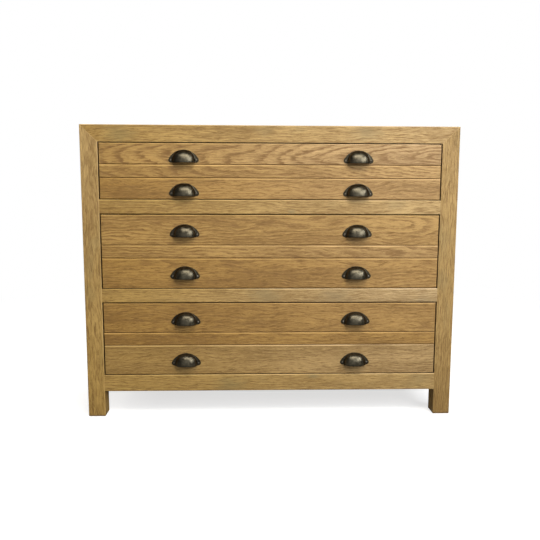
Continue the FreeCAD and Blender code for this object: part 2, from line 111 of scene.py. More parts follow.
def make_lights():
    warm = (1.0, 0.965, 0.90)
    cool = (0.97, 0.985, 1.0)
    # Each softbox's place, the point it faces, its width and height, its power and its colour.
    softboxes = {
        "ceiling_softbox": ((0.15, -1.95, 2.5), (0.0, FRONT, 0.85), 2.0, 0.9, 50, warm),
        "side_softbox": ((1.65, -2.8, 1.75), (0.3, FRONT, 0.85), 1.2, 1.2, 46, cool),
        "window": ((2.25, -1.85, 1.9), (0.2, FRONT, 0.75), 0.30, 0.8, 26, cool),
        "front_fill": ((-0.35, -3.4, 0.95), (0.0, FRONT, 0.55), 2.4, 1.7, 11, cool),
        "rear_softbox": ((0.7, 2.9, 2.0), (0.0, 0.3, 0.5), 2.2, 1.6, 70, cool),
        "left_softbox": ((-2.8, 0.9, 1.7), (-0.6, 0.0, 0.5), 1.5, 1.5, 34, warm),
    }
    for name, settings in softboxes.items():
        make_softbox(name, *settings)
    world = bpy.data.worlds.new("studio")
    world.use_nodes = True
    build = Tree(world.node_tree)
    build.tree.nodes.clear()
    seen = build.add("ShaderNodeLightPath").outputs["Is Camera Ray"]
    strength = build.calc("MULTIPLY_ADD", seen, 1.0 - ROOM_LIGHT, ROOM_LIGHT)
    shade = build.add("ShaderNodeBackground", {"Color": (1, 1, 1, 1), "Strength": strength})
    out = build.add("ShaderNodeOutputWorld")
    build.feed(out.inputs["Surface"], shade.outputs[0])
    bpy.context.scene.world = world
    bpy.context.scene.view_settings.view_transform = "Standard"


def make_floor():
    """A pale floor that takes a soft shadow near the chest and fades into the white room around it."""
    size = 30
    mesh = bpy.data.meshes.new("floor")
    mesh.from_pydata(
        [(-size, -size, 0), (size, -size, 0), (size, size, 0), (-size, size, 0)], [], [(0, 1, 2, 3)]
    )
    floor = bpy.data.objects.new("floor", mesh)
    bpy.context.scene.collection.objects.link(floor)
    material, build, surface = new_material("pale_floor")
    surface.inputs["Roughness"].default_value = 0.9
    surface.inputs["Specular IOR Level"].default_value = 0.1
    place = build.add("ShaderNodeTexCoord").outputs["Object"]
    distance = build.add("ShaderNodeVectorMath", {0: place}, operation="LENGTH").outputs["Value"]
    far = build.between(distance, 0.9, 2.6)
    seen = build.add("ShaderNodeLightPath").outputs["Is Camera Ray"]
    shade = build.mix(seen, (0.32, 0.32, 0.31, 1), (0.56, 0.56, 0.56, 1))
    build.feed(surface.inputs["Base Color"], shade)
    glow = build.add("ShaderNodeEmission", {"Color": (1, 1, 1, 1), "Strength": FLOOR_GLOW})
    lit = build.add("ShaderNodeAddShader", {0: surface.outputs[0], 1: glow.outputs[0]})
    white = build.add("ShaderNodeEmission", {"Color": (1, 1, 1, 1), "Strength": 1.0})
    faded = build.add("ShaderNodeMixShader", {0: far, 1: lit.outputs[0], 2: white.outputs[0]})
    for_camera = build.add(
        "ShaderNodeMixShader", {0: seen, 1: surface.outputs[0], 2: faded.outputs[0]}
    )
    build.feed(build.tree.nodes["Material Output"].inputs["Surface"], for_camera.outputs[0])
    mesh.materials.append(material)


# ---------------------------------------------------------------- node trees


class Tree:
    """Adds nodes to a node tree, and feeds each input from a value or from another node's output."""

    def __init__(self, tree):
        self.tree = tree

    def add(self, kind, feeds=None, **settings):
        node = self.tree.nodes.new(kind)
        for name, setting in settings.items():
            setattr(node, name, setting)
        for socket, value in (feeds or {}).items():
            self.feed(node.inputs[socket], value)
        return node

    def feed(self, socket, value):
        if isinstance(value, bpy.types.NodeSocket):
            self.tree.links.new(value, socket)
        else:
            socket.default_value = value

    def calc(self, operation, *values, clamp=False):
        node = self.add("ShaderNodeMath", operation=operation, use_clamp=clamp)
        for socket, value in zip(node.inputs, values):
            self.feed(socket, value)
        return node.outputs[0]

    def stretch(self, vector, scale):
        node = self.add("ShaderNodeVectorMath", {0: vector, 1: scale}, operation="MULTIPLY")
        return node.outputs[0]

    def move(self, vector, by):
        node = self.add("ShaderNodeVectorMath", {0: vector, 1: by}, operation="ADD")
        return node.outputs[0]

    def noise(self, vector, scale=1.0, detail=2.0, roughness=0.5):
        node = self.add(
            "ShaderNodeTexNoise",
            {"Vector": vector, "Scale": scale, "Detail": detail, "Roughness": roughness},
        )
        return node.outputs["Fac"]

    def between(self, value, low, high, start=0.0, end=1.0):
        """Carries low to start and high to end, smoothly and no further."""
        node = self.add(
            "ShaderNodeMapRange",
            {"Value": value, "From Min": low, "From Max": high, "To Min": start, "To Max": end},
            interpolation_type="SMOOTHSTEP",
        )
        return node.outputs["Result"]

    def mix(self, share, first, second, blend="MIX"):
        node = self.add("ShaderNodeMix", data_type="RGBA", blend_type=blend)
        self.feed(node.inputs["Factor"], share)
        self.feed(node.inputs[6], first)
        self.feed(node.inputs[7], second)
        return node.outputs[2]

    def split(self, vector):
        return self.add("ShaderNodeSeparateXYZ", {0: vector}).outputs

    def join(self, x, y, z):
        return self.add("ShaderNodeCombineXYZ", {0: x, 1: y, 2: z}).outputs[0]


def new_material(name):
    material = bpy.data.materials.new(name)
    material.use_nodes = True
    build = Tree(material.node_tree)
    surface = material.node_tree.nodes["Principled BSDF"]
    return material, build, surface


def new_group(name, inputs, outputs):
    """A shader node group with named sockets; returns its tree, its inputs and its output node."""
    group = bpy.data.node_groups.new(name, "ShaderNodeTree")
    for label, kind, value in inputs:
        socket = group.interface.new_socket(label, in_out="INPUT", socket_type=kind)
        if value is not None:
            socket.default_value = value
    for label, kind in outputs:
        group.interface.new_socket(label, in_out="OUTPUT", socket_type=kind)
    build = Tree(group)
    entry = build.add("NodeGroupInput")
    leave = build.add("NodeGroupOutput")
    return group, build, entry.outputs, leave.inputs


FLOAT = "NodeSocketFloat"
COLOUR = "NodeSocketColor"
VECTOR = "NodeSocketVector"


# ---------------------------------------------------------------- oak


def make_oak_grain():
    """Growth rings, pores and slow changes of tone in a sawn oak board.

    Place is in metres, with X along the board, Y across its face and Z into it.
    """
    group, build, given, out = new_group(
        "oak_grain",
        [
            ("Place", VECTOR, None), ("Seed", FLOAT, 0.0), ("Heart Depth", FLOAT, 0.04),
            ("Heart Across", FLOAT, 0.0), ("Tilt", FLOAT, 0.03), ("Ring", FLOAT, 0.006),
            ("Wander", FLOAT, 0.08),
        ],
        [
            ("Rings", FLOAT), ("Pores", FLOAT), ("Tone", FLOAT), ("Fleck", FLOAT), ("Height", FLOAT),
        ],
    )
    shift = build.join(build.calc("MULTIPLY", given["Seed"], 3.17), given["Seed"], 0.0)
    place = build.move(given["Place"], shift)
    along, across, into = build.split(given["Place"])

    # Growth rings: nested cylinders round a heart that leans and wanders along the board.
    slow = build.noise(build.stretch(place, (2.6, 8, 8)), detail=2)
    swerve = build.noise(build.stretch(place, (6, 17, 17)), detail=2)
    bend = build.calc("MULTIPLY_ADD", swerve, 0.034, -0.017)
    fibre = build.move(place, build.join(0.0, bend, 0.0))
    ruffle = build.noise(build.stretch(fibre, (22, 210, 210)), detail=4, roughness=0.7)
    depth = build.calc("MULTIPLY_ADD", along, given["Tilt"], given["Heart Depth"])
    depth = build.calc("MULTIPLY_ADD", build.calc("SUBTRACT", slow, 0.5), given["Wander"], depth)
    depth = build.calc("ADD", depth, into)
    aside = build.calc("SUBTRACT", across, given["Heart Across"])
    aside = build.calc("ADD", aside, bend)
    squares = build.calc("MULTIPLY_ADD", depth, depth, build.calc("MULTIPLY", aside, aside))
    radius = build.calc("SQRT", squares)
    radius = build.calc("ADD", radius, build.calc("MULTIPLY_ADD", ruffle, 0.0076, -0.0038))
    turn = build.calc("FRACT", build.calc("DIVIDE", radius, given["Ring"]))
    early = build.calc(
        "MULTIPLY", build.between(turn, 0.0, 0.10), build.between(turn, 0.18, 0.60, 1.0, 0.0)
    )
    patchy = build.noise(build.stretch(fibre, (20, 150, 150)), detail=3, roughness=0.6)
    rings = build.calc("MULTIPLY", early, build.between(patchy, 0.34, 0.56, 0.1, 1.0))

    # Pores: fine dashes that crowd in the rings, and longer streaks between them.
    dashes = build.noise(build.stretch(fibre, (62, 1100, 1100)), detail=1)
    streaks = build.noise(build.stretch(fibre, (26, 300, 300)), detail=4, roughness=0.7)
    pores = build.calc(
        "MULTIPLY", build.between(dashes, 0.50, 0.62), build.calc("MULTIPLY_ADD", rings, 0.7, 0.3)
    )
    pores = build.calc("MAXIMUM", pores, build.between(streaks, 0.55, 0.62))

    broad = build.noise(build.stretch(place, (1.8, 13, 13)), detail=3, roughness=0.55)
    fine = build.noise(build.stretch(fibre, (27, 260, 260)), detail=4, roughness=0.75)
    tone = build.calc("MULTIPLY_ADD", broad, 0.4, build.calc("MULTIPLY", fine, 0.6))
    ray = build.noise(build.stretch(fibre, (70, 230, 230)), detail=1)
    build.feed(out["Rings"], rings)
    build.feed(out["Pores"], pores)
    build.feed(out["Tone"], tone)
    build.feed(out["Fleck"], build.between(ray, 0.60, 0.74))
    pits = build.calc("MULTIPLY", pores, -1.0)
    build.feed(out["Height"], build.calc("MULTIPLY_ADD", rings, -0.35, pits))
    return group


def make_oak_finish():
    """The colour and roughness of waxed oak, from its grain and the board's own tint."""
    group, build, given, out = new_group(
        "oak_finish",
        [
            ("Tint", COLOUR, (0.45, 0.29, 0.12, 1)), ("Rings", FLOAT, 0.0), ("Pores", FLOAT, 0.0),
            ("Tone", FLOAT, 0.5), ("Fleck", FLOAT, 0.0), ("Stain", FLOAT, 0.0), ("Wear And Highlight", FLOAT, 0.0),
            ("Painted Shade", FLOAT, 0.0), ("Ring Strength", FLOAT, 0.6),
        ],
        [("Color", COLOUR), ("Roughness", FLOAT)],
    )

    def tinted(scale):
        return build.mix(1.0, given["Tint"], (*scale, 1), "MULTIPLY")

    wood = build.mix(
        build.between(given["Tone"], 0.39, 0.61), tinted((0.74, 0.69, 0.58)), tinted((1.27, 1.3, 1.38))
    )
    fleck = build.calc("MULTIPLY", given["Fleck"], 0.4)
    wood = build.mix(fleck, wood, tinted((1.3, 1.3, 1.3)))
    wood = build.mix(
        build.calc("MULTIPLY", given["Rings"], given["Ring Strength"]), wood, tinted((0.56, 0.46, 0.32))
    )
    wood = build.mix(build.calc("MULTIPLY", given["Pores"], 0.70), wood, tinted((0.44, 0.36, 0.27)))
    wood = build.mix(given["Stain"], wood, tinted((0.66, 0.78, 0.98)))
    # Partly real wear, partly painted highlight: pales the wood at worn edges, along the painted
    # highlight lines and on edges lit from above.
    wood = build.mix(given["Wear And Highlight"], wood, tinted((1.70, 1.80, 2.3)))
    # Painted shade: darkens the wood in the upper half of each seam and wherever little light reaches.
    wood = build.mix(given["Painted Shade"], wood, tinted((0.17, 0.13, 0.09)))
    build.feed(out["Color"], wood)
    rough = build.calc("MULTIPLY_ADD", given["Tone"], 0.16, 0.46)
    build.feed(out["Roughness"], build.calc("MULTIPLY_ADD", given["Pores"], 0.2, rough))
    return group


# Painted window light and sheen: how much paler, and bluer most of all, the wood is painted towards the
# end that stands nearest to a window, for a sheen of 1.
WINDOW_SHEEN = (0.08, 0.14, 0.6)


class Board:
    """How one board was sawn from its log, the tint of its wood, and how much painted window sheen pales
    it along its length.
    """

    def __init__(
        self, tint, heart_depth=0.03, heart_across=0.0, tilt=0.03, ring=0.006, rings=0.6,
        wander=0.08, sheen=0.0,
    ):
        self.tint = (*tint, 1)
        self.sheen_tint = (*(part * (1 + sheen * paler) for part, paler in zip(tint, WINDOW_SHEEN)), 1)
        self.heart_depth = heart_depth
        self.heart_across = heart_across
        self.tilt = tilt
        self.ring = ring
        self.rings = rings
        self.wander = wander


def by_board(build, steps, values):
    """A value for each board, changing at each seam."""
    result = values[0]
    for step, before, after in zip(steps, values, values[1:]):
        result = build.calc("MULTIPLY_ADD", step, after - before, result)
    return result


def tint_by_board(build, steps, tints):
    result = tints[0]
    for step, tint in zip(steps, tints[1:]):
        result = build.mix(step, result, tint)
    return result


def stain_mask(build, along, across, into, seed, spots):
    """Faint grey clouds, and stronger ones at chosen spots (along, across, size, strength)."""
    ragged = build.noise(build.stretch(build.join(along, across, into), (30, 80, 80)), detail=3)
    shifted = build.join(build.calc("ADD", along, seed * 1.7), across, into)
    cloud = build.noise(build.stretch(shifted, (5, 15, 15)), detail=3, roughness=0.6)
    mask = build.calc("MULTIPLY", build.between(cloud, 0.56, 0.76), 0.3)
    for spot_along, spot_across, size, strength in spots:
        near = build.add(
            "ShaderNodeVectorMath",
            {
                0: build.stretch(build.join(along, across, 0.0), (0.6, 1, 1)),
                1: (0.6 * spot_along, spot_across, 0),
            },
            operation="DISTANCE",
        ).outputs["Value"]
        near = build.calc("MULTIPLY_ADD", ragged, size, near)
        stain = build.between(near, size * 0.5, size * 1.5, 0.7 * strength, 0.0)
        mask = build.calc("MAXIMUM", mask, stain)
    return mask


AXES = {"X": 0, "Y": 1, "Z": 2}
HIGHLIGHT_LINE_WIDTH = 2.8 * MM
ARRIS_INSET = 0.5 * MM
SEAM_HALF = 2.5 * MM
WOOD_SHADE_REACH = 22 * MM
ARRIS_ROUND = 0.7 * MM
PALE_EDGE_WIDTH = 2.4 * MM
GRAIN_DEPTH = 0.6 * MM


def painted_highlight_lines(build, along, across, facing, places):
    """A pale broken line of painted highlight along each chosen arris that catches light from above, on
    the faces that look forwards.
    """
    lines = 0.0
    for place in places:
        off = build.calc("ABSOLUTE", build.calc("SUBTRACT", across, place))
        line = build.between(off, 0.3 * HIGHLIGHT_LINE_WIDTH, HIGHLIGHT_LINE_WIDTH, 1.0, 0.0)
        stretched = build.join(build.calc("MULTIPLY", along, 5.0), 90.0 * place, 0.0)
        patches = build.noise(stretched, detail=3)
        line = build.calc("MULTIPLY", line, build.between(patches, 0.36, 0.60, 0.15, 1.0))
        lines = build.calc("MAXIMUM", lines, line)
    return build.calc("MULTIPLY", lines, build.between(facing, -0.6, -0.3, 1.0, 0.0))


def painted_wood_shade(build, across, seams):
    """Painted shade: darker in the upper half of each seam, and wherever ambient occlusion finds that
    little light reaches.
    """
    shut = build.add("ShaderNodeAmbientOcclusion", {"Distance": WOOD_SHADE_REACH}, samples=4).outputs["AO"]
    wood_shade = build.between(shut, 0.28, 0.68, 0.95, 0.0)
    for seam in seams:
        off = build.calc("ABSOLUTE", build.calc("SUBTRACT", across, seam + 0.4 * SEAM_HALF))
        line = build.between(off, 0.2 * SEAM_HALF, 0.8 * SEAM_HALF, 0.55, 0.0)
        wood_shade = build.calc("MAXIMUM", wood_shade, line)
    return wood_shade


def finish_wood(node, seed, axes, boards, seams=(), spots=None, arrises=()):
    """Wood for a piece of one or more boards, which meet at seams.

    axes names the piece's own axes along the grain, across the face and into it; the seams and the
    arrises with painted highlight lines lie across.
    """
    material, build, surface = new_material(f"wood_{node}")
    low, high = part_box(node)
    spot = build.split(build.add("ShaderNodeTexCoord").outputs["Object"])
    along, across, into = (spot[AXES[axis]] for axis in axes)
    steps = [build.calc("GREATER_THAN", across, seam) for seam in seams]
    number = by_board(build, steps, [seed + 7.3 * i for i in range(len(boards))])
    grain = build.add("ShaderNodeGroup", node_tree=bpy.data.node_groups["oak_grain"])
    build.feed(grain.inputs["Place"], build.join(along, across, into))
    build.feed(grain.inputs["Seed"], number)
    for socket, key in (
        ("Heart Depth", "heart_depth"), ("Heart Across", "heart_across"), ("Tilt", "tilt"),
        ("Ring", "ring"), ("Wander", "wander"),
    ):
        values = [getattr(board, key) for board in boards]
        build.feed(grain.inputs[socket], by_board(build, steps, values))
    finish = build.add("ShaderNodeGroup", node_tree=bpy.data.node_groups["oak_finish"])
    for socket in ("Rings", "Pores", "Tone", "Fleck"):
        build.feed(finish.inputs[socket], grain.outputs[socket])
    # Painted window sheen: the tint grows paler along the grain towards its high end.
    share = build.between(along, low[AXES[axes[0]]], high[AXES[axes[0]]])
    near_tint = tint_by_board(build, steps, [board.tint for board in boards])
    sheen_tint = tint_by_board(build, steps, [board.sheen_tint for board in boards])
    build.feed(finish.inputs["Tint"], build.mix(share, near_tint, sheen_tint))
    build.feed(finish.inputs["Ring Strength"], by_board(build, steps, [board.rings for board in boards]))
    if spots is not None:
        build.feed(finish.inputs["Stain"], stain_mask(build, along, across, into, seed, spots))
    soft_edge = build.add("ShaderNodeBevel", {"Radius": ARRIS_ROUND}, samples=4).outputs[0]
    # Pale edges: partly real wear, partly a painted highlight that is stronger on upward-facing edges,
    # where light from above catches them.
    wide_edge = build.add("ShaderNodeBevel", {"Radius": PALE_EDGE_WIDTH}, samples=4).outputs[0]
    flat = build.add("ShaderNodeNewGeometry").outputs["Normal"]
    turned = build.add("ShaderNodeVectorMath", {0: wide_edge, 1: flat}, operation="DOT_PRODUCT")
    upwards = build.between(build.split(wide_edge)[2], -0.1, 0.25, 0.1, 1.0)
    pale_edge = build.between(turned.outputs["Value"], 0.90, 0.995, 0.7, 0.0)
    wear_and_highlight = build.calc("MULTIPLY", pale_edge, upwards)
    if arrises:
        facing = build.split(flat)[1]
        # Painted highlight lines along the chosen arrises.
        wear_and_highlight = build.calc("MAXIMUM", wear_and_highlight, painted_highlight_lines(build, along, across, facing, arrises))
    build.feed(finish.inputs["Wear And Highlight"], wear_and_highlight)
    # Painted shade in the seams and in occluded places.
    build.feed(finish.inputs["Painted Shade"], painted_wood_shade(build, across, seams))
    bump = build.add(
        "ShaderNodeBump",
        {
            "Strength": 0.5, "Distance": GRAIN_DEPTH, "Height": grain.outputs["Height"],
            "Normal": soft_edge,
        },
    )
    build.feed(surface.inputs["Base Color"], finish.outputs["Color"])
    build.feed(surface.inputs["Roughness"], finish.outputs["Roughness"])
    build.feed(surface.inputs["Normal"], bump.outputs[0])
    surface.inputs["Specular IOR Level"].default_value = 0.5
    paint(node, material)


def paint(node, material):
    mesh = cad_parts[node].data
    if mesh.materials:
        mesh.materials[0] = material
    else:
        mesh.materials.append(material)


# Waxed oak from different logs, as its colour before the grain darkens or pales it.
GOLDEN_OAK = (0.37, 0.225, 0.055)
HONEY_OAK = (0.355, 0.205, 0.05)
BROWN_OAK = (0.335, 0.20, 0.05)
RUSSET_OAK = (0.32, 0.175, 0.035)
DULL_OAK = (0.35, 0.22, 0.07)

# The wood of each piece of the frame that faces forwards, and how much painted window sheen pales it
# along its grain.
FRAME_WOODS = {
    "front_left_post": (GOLDEN_OAK, 1.0),
    "front_right_post": (DULL_OAK, 0.0),
    "top_front_rail": (GOLDEN_OAK, 1.5),
    "upper_divider_rail": (GOLDEN_OAK, 1.5),
    "lower_divider_rail": (GOLDEN_OAK, 2.5),
    "bottom_front_rail": (GOLDEN_OAK, 1.0),
}

# Grey stains on the frame, each at its place along and across the grain, with its size and strength.
FRAME_SPOTS = {
    "top_front_rail": [
        (-0.475, 0.915, 0.045, 0.85), (0.30, 0.925, 0.04, 0.7), (-0.02, 0.93, 0.03, 0.4),
    ],
    "upper_divider_rail": [(0.065, 0.674, 0.012, 1.0), (0.40, 0.70, 0.03, 0.4)],
    "lower_divider_rail": [(-0.02, 0.405, 0.05, 0.7), (0.21, 0.40, 0.05, 0.5)],
    "bottom_front_rail": [
        (-0.13, 0.105, 0.045, 0.8), (0.14, 0.136, 0.02, 0.9), (0.50, 0.12, 0.04, 0.5),
    ],
    "front_left_post": [(0.41, -0.585, 0.03, 0.4)],
    "front_right_post": [(0.45, 0.56, 0.035, 0.5)],
}


def finish_frame():
    """Posts and rails: each is one board, sawn from its own place in the log."""
    pieces = {
        "front_left_post": "ZXY", "front_right_post": "ZXY", "back_left_post": "ZXY",
        "back_right_post": "ZXY", "top_front_rail": "XZY", "top_back_rail": "XZY",
        "top_left_rail": "YZX", "top_right_rail": "YZX", "upper_divider_rail": "XZY",
        "lower_divider_rail": "XZY", "bottom_front_rail": "XZY", "bottom_back_rail": "XZY",
        "bottom_left_rail": "YZX", "bottom_right_rail": "YZX",
    }
    for number, (node, axes) in enumerate(pieces.items()):
        centre = middle_of(node)
        across = centre[AXES[axes[1]]]
        aside = 0.05 * math.sin(2.3 * number)
        wood, sheen = FRAME_WOODS.get(node, (DULL_OAK, 0.0))
        board = Board(
            wood, heart_depth=0.05 - centre[AXES[axes[2]]], heart_across=across + aside,
            tilt=0.02 * math.cos(1.7 * number), ring=0.0052, rings=0.5, wander=0.05, sheen=sheen,
        )
        # Arrises that get a painted highlight line.
        arrises = []
        if axes == "XZY" and centre.y < 0:
            arrises.append(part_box(node)[1].z - ARRIS_INSET)
        if node == "front_left_post":
            arrises.append(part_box(node)[1].x - ARRIS_INSET)
        spots = FRAME_SPOTS.get(node, [])
        finish_wood(node, 3.1 * number, axes, [board], spots=spots, arrises=arrises)


# The boards of each drawer front, from its lowest to its highest: the wood, the heart's depth below the
# face and its place across the board, the heart's tilt, the ring width, the rings' strength and wander.
# Each board's sheen is painted window light that pales it along its length.
FRONT_BOARDS = {
    "upper": [
        Board(RUSSET_OAK, 0.060, 0.040, 0.030, 0.0065, 0.35, 0.03, sheen=2.0),
        Board(HONEY_OAK, 0.085, 0.035, -0.100, 0.0080, 0.80, 0.05, sheen=1.0),
        Board(HONEY_OAK, 0.085, -0.008, -0.120, 0.0090, 0.95, 0.05, sheen=2.0),
    ],
    "middle": [
        Board(RUSSET_OAK, 0.055, 0.030, 0.025, 0.0070, 0.50, 0.05, sheen=1.0),
        Board(HONEY_OAK, 0.045, -0.030, 0.045, 0.0085, 0.75, 0.06, sheen=1.0),
        Board(HONEY_OAK, 0.035, 0.020, 0.030, 0.0085, 0.75, 0.07, sheen=0.5),
    ],
    "lower": [
        Board(BROWN_OAK, 0.070, 0.050, 0.010, 0.0055, 0.30, 0.03, sheen=1.5),
        Board(RUSSET_OAK, 0.050, 0.020, 0.015, 0.0065, 0.30, 0.03, sheen=0.5),
        Board(RUSSET_OAK, 0.050, -0.020, 0.020, 0.0065, 0.40, 0.04, sheen=1.0),
    ],
}
MIDDLE_BOARD = 42 * MM


def finish_fronts():
    for number, name in enumerate(DRAWERS):
        node = f"{name}_drawer_front"
        low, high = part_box(node)
        centre = (low + high) / 2
        seams = [centre.z - MIDDLE_BOARD / 2, centre.z + MIDDLE_BOARD / 2]
        edges = [low.z, *seams, high.z]
        boards = FRONT_BOARDS[name]
        for i, board in enumerate(boards):
            board.heart_across += (edges[i] + edges[i + 1]) / 2
            board.heart_depth -= centre.y
        # Arrises that get a painted highlight line: just below each seam and at the top edge.
        arrises = [seam - SEAM_HALF for seam in seams] + [high.z - ARRIS_INSET]
        finish_wood(node, 41.0 + 5.7 * number, "XZY", boards, seams, arrises=arrises)


def finish_panels():
    """The top's boards run across the chest, and the sides' boards stand upright."""
    woods = (DULL_OAK, GOLDEN_OAK, HONEY_OAK, DULL_OAK, BROWN_OAK)
    panels = {
        "top_panel": ("XYZ", 5), "left_side_panel": ("ZYX", 4), "right_side_panel": ("ZYX", 4),
    }
    for number, (node, (axes, count)) in enumerate(panels.items()):
        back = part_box("back_left_post")[0].y
        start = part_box("front_left_post")[1].y
        width = (back - start) / count
        seams = [start + width * i for i in range(1, count)]
        deep = middle_of(node)[AXES[axes[2]]]
        boards = [
            Board(
                woods[(i + 2 * number) % len(woods)], 0.015 - deep,
                start + width * (i + 0.5) + 0.02 * math.sin(2.1 * i + number),
                0.03 * math.cos(1.9 * i + number), 0.008 + 0.0015 * math.sin(3.0 * i), 0.6,
            )
            for i in range(count)
        ]
        finish_wood(node, 67.0 + 9.1 * number, axes, boards, seams)


def finish_inside():
    """Drawer boxes, plywood and battens in plainer, paler wood."""
    pale = (0.58, 0.43, 0.25)
    ply = (0.50, 0.36, 0.19)
    pine = (0.62, 0.46, 0.26)
    for number, name in enumerate(DRAWERS):
        for side in ("left_side", "right_side"):
            node = f"{name}_drawer_{side}"
            board = Board(pale, 0.05 - middle_of(node).x, middle_of(node).z, 0.02, 0.006, 0.3)
            finish_wood(node, 90.0 + number, "YZX", [board])
        node = f"{name}_drawer_back"
        board = Board(pale, 0.05 - middle_of(node).y, middle_of(node).z, 0.02, 0.006, 0.3)
        finish_wood(node, 95.0 + number, "XZY", [board])
        node = f"{name}_drawer_bottom"
        board = Board(ply, 0.02 - middle_of(node).z, 0.1, 0.03, 0.012, 0.4)
        finish_wood(node, 99.0 + number, "XYZ", [board])
    board = Board(ply, 0.02 - middle_of("back_panel").y, 0.6, 0.03, 0.014, 0.45)
    finish_wood("back_panel", 110.0, "XZY", [board])
    board = Board(ply, 0.02 - middle_of("floor_panel").z, 0.05, 0.03, 0.012, 0.4)
    finish_wood("floor_panel", 112.0, "XYZ", [board])
    for side in SIDES:
        node = f"{side}_slide_battens"
        board = Board(pine, 0.03 - middle_of(node).x, 0.5, 0.02, 0.005, 0.5)
        finish_wood(node, 115.0, "YZX", [board])


# ---------------------------------------------------------------- metals


def make_tarnish():
    """Where a dark metal finish has clouded, and where it has been rubbed through."""
    group, build, given, out = new_group(
        "tarnish",
        [("Place", VECTOR, None), ("Cloud Size", FLOAT, 120.0), ("Grit Size", FLOAT, 900.0)],
        [("Cloud", FLOAT), ("Grit", FLOAT)],
    )
    cloud = build.noise(given["Place"], given["Cloud Size"], 3.0)
    grit = build.noise(given["Place"], given["Grit Size"], 2.0)
    build.feed(out["Cloud"], build.between(cloud, 0.36, 0.66))
    build.feed(out["Grit"], grit)
    return group


HOLLOW_SHADE_REACH = 16 * MM
LIP_FLANGE_SHADE = "lip_flange_shade"


def metal_material(name, dark, light, rough, polish=0.0, hollow_shade=0.0, rim=(1, 1, 1, 1)):
    """A mottled metal, rubbed bright on its edges by polish, with shade painted dark into its corners
    and hollows and along a pull's lip and flange.

    rim tints what it reflects at a glancing angle.
    """
    material, build, surface = new_material(name)
    coords = build.add("ShaderNodeTexCoord").outputs["Object"]
    mottle = build.add("ShaderNodeGroup", node_tree=bpy.data.node_groups["tarnish"])
    build.feed(mottle.inputs["Place"], coords)
    colour = build.mix(mottle.outputs["Cloud"], dark, light)
    shine = build.calc("MULTIPLY_ADD", mottle.outputs["Cloud"], 0.10, rough)
    if polish:
        point = build.add("ShaderNodeNewGeometry").outputs["Pointiness"]
        rubbed = build.calc("MULTIPLY", build.between(point, 0.52, 0.60), polish)
        colour = build.mix(rubbed, colour, (0.34, 0.30, 0.23, 1))
    if hollow_shade:
        # Painted shade: near-black in the hollows that ambient occlusion finds, and on the flange and
        # lip that the mesh marks.
        corner = build.add("ShaderNodeAmbientOcclusion", {"Distance": HOLLOW_SHADE_REACH}, samples=4)
        painted_dark = build.calc("MULTIPLY", build.between(corner.outputs["AO"], 0.40, 0.86, 1.0, 0.0), hollow_shade)
        lip_flange_mask = build.add("ShaderNodeAttribute", attribute_name=LIP_FLANGE_SHADE).outputs["Fac"]
        painted_dark = build.calc("MAXIMUM", painted_dark, build.calc("MULTIPLY", lip_flange_mask, 0.65 * hollow_shade))
        colour = build.mix(painted_dark, colour, (0.024, 0.020, 0.014, 1))
        shine = build.calc("MULTIPLY_ADD", painted_dark, 0.3, shine)
    build.feed(surface.inputs["Base Color"], colour)
    surface.inputs["Metallic"].default_value = 1.0
    surface.inputs["Specular Tint"].default_value = rim
    build.feed(surface.inputs["Roughness"], shine)
    bump = build.add(
        "ShaderNodeBump", {"Strength": 0.2, "Distance": 0.0002, "Height": mottle.outputs["Grit"]}
    )
    build.feed(surface.inputs["Normal"], bump.outputs[0])
    return material


def finish_metals():
    steel = metal_material("slide_steel", (0.50, 0.51, 0.53, 1), (0.66, 0.67, 0.69, 1), 0.28)
    for name in DRAWERS:
        for member in ("outer", "middle", "inner"):
            paint(f"{name}_slide_{member}_channels", steel)


# ---------------------------------------------------------------- pulls and their screws

DOME_HALF_WIDTH = 36 * MM
DOME_MARGIN = 1.5 * MM
EAR_RADIUS = 8 * MM
WALL = 1.6 * MM
FILLET = 5 * MM
FULLNESS = 2.25
OUTLINE = 2.5
LIP_SHADE = 3.2 * MM


def smooth_larger(a, b, reach):
    """The larger of two heights, with the corner between them rounded."""
    share = max(reach - abs(a - b), 0) / reach
    return max(a, b) + share * share * reach / 4


def flange_edge(share, half_width, height):
    """A point on the edge of a pull's flange, and the matching angle round its dome.

    share runs from the foot of the right ear to the top of the arc over the dome.
    """
    ear_x = half_width - EAR_RADIUS
    rise = height - 2 * EAR_RADIUS
    arc_radius = (ear_x**2 + height**2 - 2 * height * EAR_RADIUS) / (2 * rise)
    arc_z = height - arc_radius
    slope = math.atan2(EAR_RADIUS - arc_z, ear_x)
    round_ear = 0.3
    dome_angle = 0.24
    if share < round_ear:
        part = share / round_ear
        angle = -math.pi / 2 + (slope + math.pi / 2) * part
        spot = (ear_x + EAR_RADIUS * math.cos(angle), EAR_RADIUS + EAR_RADIUS * math.sin(angle))
        return spot, dome_angle * part
    part = (share - round_ear) / (1 - round_ear)
    angle = slope + (math.pi / 2 - slope) * part
    spot = (arc_radius * math.cos(angle), arc_z + arc_radius * math.sin(angle))
    return spot, dome_angle + (math.pi / 2 - dome_angle) * part


